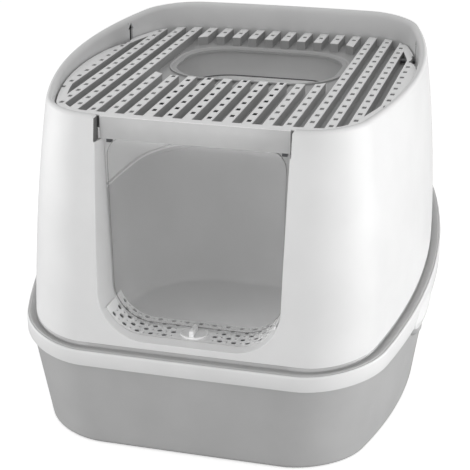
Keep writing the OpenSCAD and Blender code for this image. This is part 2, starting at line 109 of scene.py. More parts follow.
def plans(sizes):
    """Plans of the locking ring, the foot of the hood, the rim and the foot of the tub."""
    half, depth = sizes.ring_half_width, sizes.ring_depth / 2
    ring = (half, -depth, depth, 60.5 * MM, 79 * MM, 36.7 * MM, -2.9 * MM, 1.1 * MM)
    rim = (sizes.rim_half_width, -201 * MM, 206.7 * MM, 42 * MM, 46 * MM, 41.4 * MM, 2.8 * MM, 8 * MM)
    foot = (half - 23 * MM, -depth + 10.6 * MM, depth - 22 * MM, 55.7 * MM, 74 * MM, 36.7 * MM,
            -2.9 * MM, 1.1 * MM)
    return ring, inset(ring, 11), rim, foot


def inset(v, mm):
    """The same plan drawn in by some millimetres all round."""
    e = mm * MM
    return (v[0] - e, v[1] + e, v[2] - e, v[3] - e, v[4] - e, v[5], v[6], v[7])


def between(v, w, t):
    return tuple(a * (1 - t) + b * t for a, b in zip(v, w))


def bow(v, y):
    return v[5] * ((y - v[6]) / 0.2) ** 2


def arc(cx, cy, r, start, end, steps):
    """Points of an arc, with its angles in degrees."""
    turns = [radians(start + (end - start) * i / steps) for i in range(steps + 1)]
    return [(cx + r * cos(a), cy + r * sin(a)) for a in turns]


def outline(v):
    """Closed plan, from the middle of the front round to the right."""
    front, rear = bow(v, v[1]), bow(v, v[2])
    half = [(front + (v[0] - v[3] - front) * i / 8, v[1]) for i in range(8)]
    half += arc(v[0] - v[3], v[1] + v[3], v[3], -90, 0, 14)
    half += [(v[0], v[1] + v[3] + (v[2] - v[4] - v[1] - v[3]) * i / 26) for i in range(1, 26)]
    half += arc(v[0] - v[4], v[2] - v[4], v[4], 0, 90, 14)
    half += [(v[0] - v[4] + (rear - v[0] + v[4]) * i / 8, v[2]) for i in range(1, 9)]
    bowed = []
    for x, y in half:
        x = x - bow(v, y)
        bowed.append((x, y - v[7] * (x / v[0]) ** 2 * (2 * y - v[1] - v[2]) / (v[2] - v[1])))
    return bowed + [(-x, y) for x, y in bowed[-2:0:-1]]


def level(v, z, rise=0.0):
    """A plan at height z in millimetres, climbing towards the back."""
    return [(x, y, z * MM + rise * y) for x, y in outline(v)]


SEAT_RISE = 0.172
SKIRT_RISE = 0.15
RIM_RISE = 0.068


# Modelling


def deselect():
    if bpy.context.object and bpy.context.object.mode != "OBJECT":
        bpy.ops.object.mode_set(mode="OBJECT")
    bpy.ops.object.select_all(action="DESELECT")


def only(piece):
    """Makes this piece the one that the next operators work on."""
    deselect()
    piece.select_set(True)
    bpy.context.view_layer.objects.active = piece


def named(name):
    made = bpy.context.object
    made.name = name
    made.data.name = name
    return made


def selected_points(piece):
    mesh = bmesh.from_edit_mesh(piece.data)
    mesh.verts.ensure_lookup_table()
    return mesh, [v for v in mesh.verts if v.select]


def loft(name, rings, closed=False):
    """A circle laid on the first ring, then extruded ring by ring; closed joins last to first."""
    deselect()
    bpy.ops.mesh.primitive_circle_add(vertices=len(rings[0]), radius=0.1, location=(0, 0, 0))
    piece = named(name)
    bpy.ops.object.mode_set(mode="EDIT")
    mesh, points = selected_points(piece)
    for point, place in zip(points, rings[0]):
        point.co = place
    order = {tuple(p.co): i for i, p in enumerate(points)}
    bmesh.update_edit_mesh(piece.data)
    if not closed:
        bpy.ops.mesh.edge_face_add()
    for ring in rings[1:]:
        bpy.ops.mesh.extrude_edges_move(TRANSFORM_OT_translate={"value": (0, 0, 0)})
        mesh, points = selected_points(piece)
        turned = {}
        for point in points:
            index = order[tuple(point.co)]
            point.co = ring[index]
            turned[tuple(point.co)] = index
        order = turned
        bmesh.update_edit_mesh(piece.data)
    if closed:
        bpy.ops.mesh.select_non_manifold(extend=False)
        bpy.ops.mesh.bridge_edge_loops()
    else:
        bpy.ops.mesh.edge_face_add()
    bpy.ops.mesh.select_all(action="SELECT")
    bpy.ops.mesh.normals_make_consistent(inside=False)
    bpy.ops.object.mode_set(mode="OBJECT")
    return piece


def block(name, low, high, rounding=0.0, steps=3):
    """A cube between two corners in millimetres, with its edges rounded."""
    deselect()
    middle = [(a + b) / 2 * MM for a, b in zip(low, high)]
    bpy.ops.mesh.primitive_cube_add(size=1, location=middle)
    piece = named(name)
    piece.scale = [(b - a) * MM for a, b in zip(low, high)]
    bpy.ops.object.transform_apply(location=True, rotation=True, scale=True)
    if rounding:
        bpy.ops.object.mode_set(mode="EDIT")
        bpy.ops.mesh.select_all(action="SELECT")
        bpy.ops.mesh.bevel(offset=rounding * MM, segments=steps, affect="EDGES")
        bpy.ops.object.mode_set(mode="OBJECT")
    return piece


def rod(name, middle, radius, span, along, rounding=0.3, sides=40):
    """A round bar along one axis with rounded ends; sizes in millimetres."""
    deselect()
    turn = {"x": (0, pi / 2, 0), "y": (pi / 2, 0, 0), "z": (0, 0, 0)}[along]
    bpy.ops.mesh.primitive_cylinder_add(vertices=sides, radius=radius * MM, depth=span * MM,
                                        location=[c * MM for c in middle], rotation=turn)
    piece = named(name)
    bpy.ops.object.transform_apply(location=True, rotation=True, scale=True)
    bpy.ops.object.mode_set(mode="EDIT")
    bpy.ops.mesh.select_all(action="DESELECT")
    mesh = bmesh.from_edit_mesh(piece.data)
    for face in mesh.faces:
        if len(face.verts) > 4:
            face.select_set(True)
    bmesh.update_edit_mesh(piece.data)
    bpy.ops.mesh.region_to_loop()
    bpy.ops.mesh.bevel(offset=rounding * MM, segments=3, affect="EDGES")
    bpy.ops.object.mode_set(mode="OBJECT")
    return piece


def carve(piece, cutter, operation="DIFFERENCE"):
    """Cuts, joins or crosses a piece with another one, which is used up."""
    only(piece)
    bpy.ops.object.modifier_add(type="BOOLEAN")
    change = piece.modifiers[-1]
    change.object = cutter
    change.operation = operation
    change.solver = "EXACT"
    bpy.ops.object.modifier_apply(modifier=change.name)
    bpy.data.objects.remove(cutter, do_unlink=True)
    if not piece.data.polygons:
        raise RuntimeError(piece.name + " is empty after a cut")
    return piece


def join(first, *others):
    """Several shells of one moulding in one object."""
    deselect()
    for other in others:
        other.select_set(True)
    first.select_set(True)
    bpy.context.view_layer.objects.active = first
    bpy.ops.object.join()
    return first


def copy_of(node_name, name):
    """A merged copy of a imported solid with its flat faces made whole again."""
    deselect()
    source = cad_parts[node_name]
    made = bpy.data.objects.new(name, source.data.copy())
    bpy.context.scene.collection.objects.link(made)
    made.data.name = name
    made.data.materials.clear()
    only(made)
    bpy.ops.object.mode_set(mode="EDIT")
    bpy.ops.mesh.select_all(action="SELECT")
    bpy.ops.mesh.remove_doubles(threshold=0.00001)
    bpy.ops.mesh.dissolve_limited(angle_limit=radians(0.6))
    bpy.ops.object.mode_set(mode="OBJECT")
    return made


def soften(piece, mm, steps=2, from_angle=35):
    """Rounds every edge that is sharper than from_angle."""
    only(piece)
    bpy.ops.object.modifier_add(type="BEVEL")
    change = piece.modifiers[-1]
    change.width = mm * MM
    change.segments = steps
    change.limit_method = "ANGLE"
    change.angle_limit = radians(from_angle)
    change.use_clamp_overlap = True
    bpy.ops.object.modifier_apply(modifier=change.name)
    return piece


def dress(piece, material, body, replaced=(), smooth=32):
    """Last steps of a piece: smoothing, finish, body, slot and the node it stands for."""
    only(piece)
    bpy.ops.object.shade_smooth_by_angle(angle=radians(smooth))
    piece.data.materials.clear()
    piece.data.materials.append(material)
    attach(piece, body)
    if replaced:
        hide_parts(*replaced)
    return piece


def paint_node(node_name, material):
    """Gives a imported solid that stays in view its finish."""
    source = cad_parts[node_name]
    source.data.materials.clear()
    source.data.materials.append(material)


# Finishes


def add(tree, kind, place, settings=None, links=None):
    """Adds one shader node, with its settings and what feeds its sockets."""
    made = tree.nodes.new(kind)
    made.location = place
    for key, value in (settings or {}).items():
        if isinstance(key, int) or key in made.inputs:
            made.inputs[key].default_value = value
        else:
            setattr(made, key, value)
    for key, source in (links or {}).items():
        tree.links.new(source, made.inputs[key])
    return made


def blank(name):
    material = bpy.data.materials.new(name)
    material.use_nodes = True
    material.node_tree.nodes.clear()
    return material, material.node_tree


def step(tree, operation, source, value, reach=0.0):
    """One comparison in a mask: 1 where it holds, else 0. COMPARE holds within reach of the value."""
    made = add(tree, "ShaderNodeMath", (0, 600), {"operation": operation, 1: value, 2: reach}, {0: source})
    return made.outputs[0]


def together(tree, *masks):
    """Where all the masks hold."""
    whole = masks[0]
    for other in masks[1:]:
        both = add(tree, "ShaderNodeMath", (200, 600), {"operation": "MULTIPLY"}, {0: whole, 1: other})
        whole = both.outputs[0]
    return whole


def blend(tree, mask, tint, code):
    """The tint, with the hex colour in its place where the mask holds."""
    made = add(tree, "ShaderNodeMix", (400, 600), {"data_type": "RGBA", 7: linear(code)}, {0: mask, 6: tint})
    return made.outputs[2]


def coordinates(tree, place):
    """X, Y and Z of an object space place, and how far it is from the middle plane."""
    parts = add(tree, "ShaderNodeSeparateXYZ", (-880, 620), links={0: place}).outputs
    across = add(tree, "ShaderNodeMath", (-660, 700), {"operation": "ABSOLUTE"}, {0: parts["X"]}).outputs[0]
    return parts, across


BAR_TOP_Z = 0.3423
GROOVE_Z = 0.3419
FASCIA_REAR_Y = -0.1855
HALF_BAR_PITCH = 0.00975
COLLAR_LIP_Z = 0.3034


def grate_painted_light_and_shade(tree, place, tint):
    """Painted light and shade of the grate: a painted highlight on the bar tops, painted shade in the grooves,
    painted shade that makes the open slots in the middle bars read dark, and a painted shadow on the fascia's ends.
    """
    parts, across = coordinates(tree, place)
    column = add(tree, "ShaderNodeMath", (-660, 500), {"operation": "PINGPONG", 1: HALF_BAR_PITCH},
                 {0: parts["X"]}).outputs[0]
    behind = step(tree, "GREATER_THAN", parts["Y"], FASCIA_REAR_Y)
    # Painted highlight: the bar tops are painted paler than the grate's grey.
    tint = blend(tree, step(tree, "GREATER_THAN", parts["Z"], BAR_TOP_Z), tint, "#FBFBFB")
    # Painted shade on everything below the bar tops behind the fascia: the grooves' floors and sides.
    groove = together(tree, step(tree, "LESS_THAN", parts["Z"], GROOVE_Z), behind)
    tint = blend(tree, groove, tint, "#A6A6A6")
    # Painted shade in the open slots of the middle bars, so that they read dark.
    slot = together(tree, step(tree, "GREATER_THAN", column, 0.0074), step(tree, "LESS_THAN", across, 0.0515),
                    step(tree, "LESS_THAN", parts["Z"], BAR_TOP_Z),
                    step(tree, "COMPARE", parts["Y"], -0.087, 0.085))
    tint = blend(tree, slot, tint, "#3A3A3A")
    # Painted shadow on the fascia's ends, where the gaps beside the doorway pillars fall in shade.
    fascia_end = together(tree, step(tree, "GREATER_THAN", across, 0.0938),
                          step(tree, "LESS_THAN", parts["Z"], 0.3414),
                          step(tree, "LESS_THAN", parts["Y"], FASCIA_REAR_Y))
    return blend(tree, fascia_end, tint, "#5A5A5A")


def slot_tone(tree, place, tint):
    """Painted shade of the hood: inside its two pin slots, and on the doorway's cuts beside the fascia."""
    parts, across = coordinates(tree, place)
    within = together(tree, step(tree, "COMPARE", across, 0.172, 0.0034),
                      step(tree, "COMPARE", parts["Y"], 0.116, 0.0058),
                      step(tree, "COMPARE", parts["Z"], 0.3488, 0.0126))
    tint = blend(tree, within, tint, "#4A4A4B")
    beside = together(tree, step(tree, "COMPARE", across, 0.0964, 0.0004),
                      step(tree, "COMPARE", parts["Z"], 0.3305, 0.0115),
                      step(tree, "COMPARE", parts["Y"], -0.1915, 0.0105))
    return blend(tree, beside, tint, "#6A6A6A")


def lip_tone(tree, place, tint):
    """Painted shade under the lower lip of the collar."""
    parts, _ = coordinates(tree, place)
    return blend(tree, step(tree, "LESS_THAN", parts["Z"], COLLAR_LIP_Z), tint, "#4A4A4A")


def moulded(name, tone, shade, roughness, drift_mm, grain_mm, grain_depth_mm, painted=None):
    """Injection moulded plastic: drift is the size of the cloudy tone changes, grain the tool's texture, and
    painted a function that adds the piece's painted light and shade."""
    found = bpy.data.materials.get(name)
    if found:
        return found
    material, tree = blank(name)
    place = add(tree, "ShaderNodeTexCoord", (-1100, 0)).outputs["Object"]
    drift = add(tree, "ShaderNodeTexNoise", (-880, 220),
                {"Scale": 1000 / drift_mm, "Detail": 3.0, "Roughness": 0.5}, {"Vector": place})
    grain = add(tree, "ShaderNodeTexNoise", (-880, -220),
                {"Scale": 1000 / grain_mm, "Detail": 2.0, "Roughness": 0.55}, {"Vector": place})
    blotch = add(tree, "ShaderNodeMapRange", (-660, 220),
                 {"From Min": 0.35, "From Max": 0.65}, {"Value": drift.outputs["Fac"]})
    mixed = add(tree, "ShaderNodeMix", (-440, 220), {"data_type": "RGBA", 6: tuple(tone), 7: tuple(shade)},
                {0: blotch.outputs["Result"]})
    tint = mixed.outputs[2]
    if painted:
        tint = painted(tree, place, tint)
    gloss = add(tree, "ShaderNodeMapRange", (-440, 0),
                {"From Min": 0.3, "From Max": 0.7, "To Min": roughness - 0.05, "To Max": roughness + 0.06},
                {"Value": grain.outputs["Fac"]})
    bump = add(tree, "ShaderNodeBump", (-440, -220), {"Strength": 0.35, "Distance": grain_depth_mm * MM},
               {"Height": grain.outputs["Fac"]})
    plastic = add(tree, "ShaderNodeBsdfPrincipled", (-160, 0), {"IOR": 1.49},
                  {"Base Color": tint, "Roughness": gloss.outputs["Result"],
                   "Normal": bump.outputs["Normal"]})
    add(tree, "ShaderNodeOutputMaterial", (140, 0), links={"Surface": plastic.outputs[0]})
    return material


def white_polypropylene():
    # Satin white from a finely sparked tool: clean, with soft broad highlights.
    c = bpy.context.scene.box_colours
    return moulded("white_polypropylene_satin", c.hood, c.hood_shade, 0.5, 70, 1.4, 0.05,
                    slot_tone)


def bright_polypropylene():
    # The sill strip and knob are a purer, smoother white than the hood around them.
    return moulded("white_polypropylene_smooth", linear("#FAFAFA"), linear("#F4F4F4"), 0.4, 50, 1.2, 0.03)


def grey_polypropylene():
    # Mid grey with a duller, coarser tool texture, so that the tub hides scratches.
    c = bpy.context.scene.box_colours
    return moulded("grey_polypropylene_sparked", c.tub, c.tub_shade, 0.46, 55, 1.6, 0.08)


def light_grey_polypropylene():
    # Lighter grey of the grate, satin all over; the bar tops carry a painted highlight, and the grooves, slots and
    # fascia ends painted shade.
    c = bpy.context.scene.box_colours
    return moulded("light_grey_polypropylene_satin", c.grate, c.grate_shade, 0.4, 40, 1.4, 0.05,
                    grate_painted_light_and_shade)


def collar_polypropylene():
    # The collar is a smoother moulding; its grey is painted one tone darker than the grate's, as painted shade for
    # the shade of the bars it lies in.
    return moulded("grey_polypropylene_smooth", linear("#B8B8B8"), linear("#B3B3B3"), 0.34, 40, 1.4, 0.03,
                    lip_tone)


def dark_acetal():
    # Dark pins and hangers in acetal, slightly oily looking from wear.
    c = bpy.context.scene.box_colours
    return moulded("dark_acetal_moulded", c.pin, linear("#4C4D4F"), 0.3, 12, 0.9, 0.03)


def smoky_polycarbonate():
    """Tinted clear sheet: thin where it is seen face on, darker at its cut edges, with a polish that varies."""
    name = "smoky_polycarbonate_polished"
    found = bpy.data.materials.get(name)
    if found:
        return found
    material, tree = blank(name)
    place = add(tree, "ShaderNodeTexCoord", (-900, 0)).outputs["Object"]
    haze = add(tree, "ShaderNodeTexNoise", (-680, 0), {"Scale": 1000 / 35, "Detail": 4.0}, {"Vector": place})
    polish = add(tree, "ShaderNodeMapRange", (-440, 0), {"To Min": 0.06, "To Max": 0.2},
                 {"Value": haze.outputs["Fac"]})
    ripple = add(tree, "ShaderNodeBump", (-440, -220), {"Strength": 0.2, "Distance": 0.05 * MM},
                 {"Height": haze.outputs["Fac"]})
    facing = add(tree, "ShaderNodeSeparateXYZ", (-900, 420),
                 links={0: add(tree, "ShaderNodeTexCoord", (-1100, 420)).outputs["Normal"]}).outputs["Y"]
    flat = add(tree, "ShaderNodeMath", (-680, 420), {"operation": "ABSOLUTE"}, {0: facing}).outputs[0]
    cover = add(tree, "ShaderNodeMapRange", (-440, 420),
                {"From Min": 0.3, "From Max": 0.8, "To Min": 0.8, "To Max": 0.25}, {"Value": flat})
    tint = add(tree, "ShaderNodeMix", (-440, 220),
               {"data_type": "RGBA", 6: linear("#6E6E6E"), 7: tuple(bpy.context.scene.box_colours.door)},
               {0: step(tree, "GREATER_THAN", flat, 0.6)})
    sheet = add(tree, "ShaderNodeBsdfPrincipled", (-160, 0), {"IOR": 1.585},
                {"Base Color": tint.outputs[2], "Alpha": cover.outputs["Result"],
                 "Roughness": polish.outputs["Result"], "Normal": ripple.outputs["Normal"]})
    add(tree, "ShaderNodeOutputMaterial", (140, 0), links={"Surface": sheet.outputs[0]})
    return material


# Shapes that several pieces share

DOOR_TOP_Z = 319.3
SILL_REAR_Y = -169
RIM_FRONT = (-201, 8, 190.9)
FOOT_FRONT = (-220.8, 1.1, 205)


def face_y(x, z, bulge):
    """Front face of the hood wall, x across and z up, in millimetres."""
    low, high = 115.49, 339.93
    t = (z - low) / (high - low)
    foot = FOOT_FRONT[0] + FOOT_FRONT[1] * (x / FOOT_FRONT[2]) ** 2
    rim = RIM_FRONT[0] + RIM_FRONT[1] * (x / RIM_FRONT[2]) ** 2
    return foot * (1 - t) + rim * t - bulge * 4 * t * (1 - t)


def doorway_line(low, top, z, r, grow):
    """Doorway edge in x and z, from the top left round the bottom to the top right."""
    w, u, b, q = low + grow, top + grow, z - grow, r + grow
    left = [(-u + (u - w) * i / 8, DOOR_TOP_Z - (DOOR_TOP_Z - b - q) * i / 8) for i in range(9)]
    left += arc(-(w - q), b + q, q, 180, 270, 16)[1:]
    return left + [(-x, y) for x, y in left[::-1]]


def outer_line(grow):
    return doorway_line(92.4, 95.4, 122, 48, grow)


def inner_line(grow):
    return doorway_line(88.8, 91.8, 125.4, 42, grow)


class LITTERBOX_OT_stage(bpy.types.Operator):
    """Camera at the photo's angle, soft studio light and a plain pale floor"""
    bl_idname = "litterbox.stage"
    bl_label = "Stage"

    def execute(self, context):
        scene = context.scene
        deselect()
        bpy.ops.object.camera_add(location=(0.3431, -1.3299, 0.7075),
                                  rotation=(radians(68.10), 0, radians(14.88)))
        camera = context.object
        camera.name = "photo_camera"
        camera.data.lens = 101.2
        camera.data.sensor_width = 36
        scene.camera = camera
        scene.view_settings.view_transform = "Standard"
        self.lamp("key_softbox", (1.8, -0.1, 0.19), (1.3, 0.34), 24.0)
        self.lamp("front_card", (-0.4, -2.1, 0.19), (1.6, 0.34), 15.5)
        self.lamp("left_card", (-1.8, -0.2, 0.19), (1.3, 0.34), 14.0)
        self.lamp("top_softbox", (0.0, 0.1, 2.0), (1.4, 1.4), 4.0)
        self.inner_glow()
        self.sky(scene)
        self.floor()
        return {"FINISHED"}

    def lamp(self, name, place, size, power):
        deselect()
        bpy.ops.object.light_add(type="AREA", location=place)
        lamp = bpy.context.object
        lamp.name = name
        lamp.data.shape = "RECTANGLE"
        lamp.data.size, lamp.data.size_y = size
        lamp.data.energy = power
        aim = Vector((0, 0, 0.2)) - Vector(place)
        lamp.rotation_euler = aim.to_track_quat("-Z", "Y").to_euler()

    def inner_glow(self):
        """Stands for the daylight that the white walls let through, which lifts the shade inside."""
        deselect()
        bpy.ops.object.light_add(type="POINT", location=(0, -0.02, 0.11))
        lamp = bpy.context.object
        lamp.name = "inner_glow"
        lamp.data.shadow_soft_size = 0.06
        lamp.data.energy = 0.68
        lamp.visible_camera = False
        lamp.visible_glossy = False

    def sky(self, scene):
        world = bpy.data.worlds.new("studio_surround")
        world.use_nodes = True
        tree = world.node_tree
        tree.nodes.clear()
        path = add(tree, "ShaderNodeLightPath", (-900, 300))
        clear = add(tree, "ShaderNodeMath", (-660, 420), {"operation": "MAXIMUM"},
                    {0: path.outputs["Is Glossy Ray"], 1: path.outputs["Is Transmission Ray"]})
        seen = add(tree, "ShaderNodeMath", (-660, 300), {"operation": "MAXIMUM"},
                   {0: path.outputs["Is Camera Ray"], 1: clear.outputs[0]})
        plain = add(tree, "ShaderNodeBackground", (-440, 60), {"Color": (1, 1, 1, 1), "Strength": 0.46})
        white = add(tree, "ShaderNodeBackground", (-440, -120), {"Color": (1, 1, 1, 1), "Strength": 1.0})
        both = add(tree, "ShaderNodeMixShader", (-200, 0),
                   links={0: seen.outputs[0], 1: plain.outputs[0], 2: white.outputs[0]})
        add(tree, "ShaderNodeOutputWorld", (20, 0), links={"Surface": both.outputs[0]})
        scene.world = world

    def floor(self):
        deselect()
        bpy.ops.mesh.primitive_grid_add(x_subdivisions=4, y_subdivisions=4, size=9, location=(0, 0, -0.0002))
        ground = named("studio_floor")
        bpy.ops.object.transform_apply(location=True, rotation=True, scale=True)
        material, tree = blank("white_paper_floor")
        place = add(tree, "ShaderNodeTexCoord", (-900, 0)).outputs["Object"]
        tooth = add(tree, "ShaderNodeTexNoise", (-680, 0), {"Scale": 400.0}, {"Vector": place})
        path = add(tree, "ShaderNodeLightPath", (-680, 300))
        lift = add(tree, "ShaderNodeMath", (-440, 300), {"operation": "MULTIPLY", 1: 0.55},
                   {0: path.outputs["Is Camera Ray"]})
        card = add(tree, "ShaderNodeMix", (-440, 520),
                   {"data_type": "RGBA", 6: linear("#8E8E8E"), 7: linear("#F6F6F6")},
                   {0: path.outputs["Is Camera Ray"]})
        rough = add(tree, "ShaderNodeMapRange", (-440, 0), {"To Min": 0.8, "To Max": 0.9},
                    {"Value": tooth.outputs["Fac"]})
        paper = add(tree, "ShaderNodeBsdfPrincipled", (-160, 0),
                    {"Specular IOR Level": 0.1, "Emission Color": (1, 1, 1, 1)},
                    {"Base Color": card.outputs[2], "Roughness": rough.outputs["Result"],
                     "Emission Strength": lift.outputs[0]})
        add(tree, "ShaderNodeOutputMaterial", (140, 0), links={"Surface": paper.outputs[0]})
        ground.data.materials.append(material)


class LITTERBOX_OT_tub(bpy.types.Operator):
    """Grey tub with flared walls, a wide rim ledge and a grip lug on each side"""
    bl_idname = "litterbox.tub"
    bl_label = "Tub"

    def execute(self, context):
        sizes = context.scene.box_sizes
        ring, _, _, foot = plans(sizes)
        seat = sizes.seat_height / MM
        top = inset(ring, 3.1)

        def wall(t, e):
            return level(inset(between(foot, top, t), e), 5 + (seat - 12) * t, SEAT_RISE * t)

        rings = [level(inset(foot, 6.5), 0), level(inset(foot, 5), 0.05), level(inset(foot, 3.4), 0.4),
                 level(inset(foot, 2), 1.1), level(inset(foot, 0.9), 2.3), level(inset(foot, 0.25), 3.8)]
        rings += [wall(i / 10, 0) for i in range(11)]
        rings += [level(inset(ring, e), seat + z, SEAT_RISE) for e, z in (
            (2.9, -5.3), (2.3, -4.7), (2.1, -4), (2.1, -3.2), (2.4, -2.5), (3.1, -2), (4.1, -1.9), (5.4, -2.3),
            (7, -3.1), (8.6, -3.9), (10, -4.3), (10.9, -4.3), (11.4, -3.8), (11.4, -0.2), (11.6, 0), (13.6, 0),
            (14, -0.4), (14, -6), (8.6, -8.4), (6.1, -10.5))]
        rings += [wall(i / 10, 3) for i in (7, 5, 3, 1)]
        rings += [level(inset(foot, e), z) for e, z in ((3.4, 11), (4.4, 7), (6.2, 4.6), (9, 3.3), (13, 3))]
        tub = loft("tub_shell", rings)
        for side in (-1, 1):
            deselect()
            y = -0.072
            turn = side * atan(2 * ring[5] * (y - ring[6]) / 0.04)
            x = side * (ring[0] - bow(ring, y) - 0.0142)
            bpy.ops.mesh.primitive_uv_sphere_add(segments=40, ring_count=24, radius=1, location=(x, y, 0.102),
                                                 rotation=(0, side * radians(-8), turn),
                                                 scale=(0.0135, 0.015, 0.011))
            lug = named("grip_lug")
            bpy.ops.object.transform_apply(location=True, rotation=True, scale=True)
            tub = join(tub, lug)
        dress(tub, grey_polypropylene(), "tub", ["base_tray"], 40)
        return {"FINISHED"}


class LITTERBOX_OT_ring(bpy.types.Operator):
    """White ring snapped round the tub under its rim, with a tab over each lug"""
    bl_idname = "litterbox.ring"
    bl_label = "Locking ring"

    def execute(self, context):
        sizes = context.scene.box_sizes
        ring = plans(sizes)[0]
        seat, skirt = sizes.seat_height / MM, sizes.skirt_height / MM
        rings = [level(inset(ring, 1.0), skirt, SKIRT_RISE), level(inset(ring, 0.3), skirt + 0.2, SKIRT_RISE),
                 level(inset(ring, 0), skirt + 0.9, SKIRT_RISE)]
        rings += [level(inset(ring, e), seat + z, SEAT_RISE) for e, z in (
            (0, -5), (0.1, -4.1), (0.35, -3.4), (0.75, -2.9), (1.2, -2.7), (1.65, -2.8), (2, -3.3), (2.05, -4),
            (1.9, -7))]
        rings += [level(inset(ring, 1.9), skirt, SKIRT_RISE)]
        band = loft("locking_ring", rings, closed=True)
        for side in (-1, 1):
            band = join(band, self.tab(ring, skirt, side))
        dress(band, white_polypropylene(), "tub", ["rim_ring"], 40)
        return {"FINISHED"}

    def tab(self, ring, skirt, side):
        """Lens shaped tab that stands off the ring, with a rounded rim."""
        y, wide, drop, out = -0.071, 62, 9, 3.4
        sag = drop + 1
        r = ((wide / 2) ** 2 + sag * sag) / (2 * sag)
        half = []
        for i in range(-16, 17):
            across = wide / 2 * 0.93 * i / 16
            half.append((across, r - drop - sqrt(r * r - across * across)))
        edge = half + [(a, 2 - b) for a, b in half[::-1]]

        def at(depth, shrink):
            return [(depth, a * shrink, 1 + (b - 1) * shrink) for a, b in edge]
        layers = [at(-1.4, 1.1)]
        layers += [at(-0.2 + out * (1 - (a / 1.1) ** 2) ** 1.5, a)
                   for a in (1.08, 0.98, 0.86, 0.72, 0.56, 0.38, 0.2)]
        place = (Matrix.Translation((ring[0] - bow(ring, y), y, skirt * MM + SKIRT_RISE * y))
                 @ Matrix.Rotation(atan(2 * ring[5] * (y - ring[6]) / 0.04), 4, "Z")
                 @ Matrix.Rotation(atan(SKIRT_RISE), 4, "X"))
        rings = [[place @ Vector((a * MM, b * MM, c * MM)) for a, b, c in layer] for layer in layers]
        return loft("ring_tab", [[(side * p.x, p.y, p.z) for p in layer] for layer in rings])


class LITTERBOX_OT_hood(bpy.types.Operator):
    """White hood: bulging walls, rounded rim, front doorway with its sloping reveal"""
    bl_idname = "litterbox.hood"
    bl_label = "Hood"

    def execute(self, context):
        sizes = context.scene.box_sizes
        ring, foot, rim, _ = plans(sizes)
        seat, crest = sizes.seat_height / MM, sizes.rim_height / MM
        bulge, wall, grate = sizes.wall_bulge / MM, sizes.hood_wall / MM, sizes.grate_top / MM

        def side(t, e):
            z = (seat + 1.5) * (1 - t) + (crest - 5) * t
            return level(inset(between(foot, rim, t), e - bulge * 4 * t * (1 - t)), z,
                         SEAT_RISE * (1 - t) + RIM_RISE * t)

        rings = [level(inset(ring, 12.2), seat, SEAT_RISE), level(inset(ring, 11.5), seat + 0.1, SEAT_RISE),
                 level(inset(ring, 11.15), seat + 0.5, SEAT_RISE)]
        rings += [side(i / 16, 0) for i in range(17)]
        outside = [(4.5 - 4.5 * cos(radians(a)), -5 + 5 * sin(radians(a))) for a in (15, 30, 45, 60, 75, 90)]
        inside = [(4.5 + 4.9 * cos(radians(a)), -6.3 + 6.3 * sin(radians(a))) for a in (75, 60, 45, 30, 15, 0)]
        rings += [level(inset(rim, e), crest + z, RIM_RISE) for e, z in outside + inside]
        rings += [level(inset(rim, 9.6), grate - 21.7), side(0.66, wall), side(0.44, wall), side(0.22, wall),
                  side(0, wall)]
        rings += [level(inset(ring, e), seat + z, SEAT_RISE) for e, z in (
            (17.2, 1.5), (17.2, -0.6), (14.6, -0.6), (14.6, 0))]
        hood = loft("hood_shell", rings, closed=True)
        carve(hood, self.doorway_cutter(crest))
        for s in (-1, 1):
            carve(hood, block("notch", (169.7 * s - 6, 112.9, 336.35), (169.7 * s + 6, 119.1, 357)))
            head = loft("notch_head", [[(x * MM, y * MM, z * MM) for y, z in (
                (110.6, 353.6), (116, 361.4), (121.4, 353.6))] for x in (169.7 * s - 6, 169.7 * s + 6)])
            carve(hood, head)
        ribs = []
        for low, high in (((123, -188, 316), (129, -176, 330)), ((164, -60, 316), (180, -54, 330)),
                          ((165, 40, 316), (181, 46, 330))):
            for s in (-1, 1):
                a, b = (low[0] * s, high[0] * s) if s > 0 else (-high[0], -low[0])
                ribs.append(block("rest_rib", (a, low[1], low[2]), (b, high[1], high[2]), 0.6))
        hood = join(hood, self.reveal(bulge), *ribs)
        dress(hood, white_polypropylene(), "hood", ["hood"], 30)
        return {"FINISHED"}

    def doorway_cutter(self, crest):
        """Prism through the front wall, flaring at the top so that the rim ends are rounded."""
        line = outer_line(1.0)
        half = [p for p in line if p[0] >= 0]
        top = crest - 13.7
        x = half[-1][0]
        r = 4.5
        half += [(x, 330), (x, top - r)]
        half += [(x + r - r * cos(radians(a)), top - r + r * sin(radians(a))) for a in (15, 30, 45, 60, 75, 90)]
        half += [(x + r + 0.4, top + 3), (x + r + 0.4, 420)]
        full = half + [(-a, b) for a, b in half[::-1]]
        return loft("doorway_cutter", [[(a * MM, y * MM, b * MM) for a, b in full] for y in (-182, -250)])

    def reveal(self, bulge):
        """Doorway lining: a rounded lip on the front face, then a slope back to the door."""
        lines = {}

        def spot(kind, grow, i):
            key = (kind, grow)
            if key not in lines:
                lines[key] = outer_line(grow) if kind == "out" else inner_line(grow)
            return lines[key][i]

        rings = []
        for i in range(len(outer_line(0))):
            x, z = spot("out", 0, i)
            y0 = face_y(x, z, bulge)
            y1 = -184.0 if z > 150 else -211.5
            marks = [("out", 1.4, y0 + 1.0), ("out", 1.4, y0 - 0.08), ("out", 0.8, y0 - 0.1),
                     ("out", 0.35, y0 + 0.1), ("out", 0.08, y0 + 0.45), ("out", 0, y0 + 0.95)]
            ring = []
            for kind, grow, y in marks:
                a, b = spot(kind, grow, i)
                ring.append((a * MM, y * MM, b * MM))
            a, b = spot("in", 0, i)
            start = Vector(ring[-1])
            end = Vector((a * MM, (y1 - 0.8) * MM, b * MM))
            ring += [tuple(start.lerp(end, t)) for t in (0.33, 0.66, 1)]
            for kind, grow, y in (("in", 0.25, y1 - 0.2), ("in", 0.8, y1), ("in", 3.2, y1), ("out", 3.2, y0 + 2.4)):
                a, b = spot(kind, grow, i)
                ring.append((a * MM, y * MM, b * MM))
            rings.append(ring)
        return loft("doorway_reveal", rings)


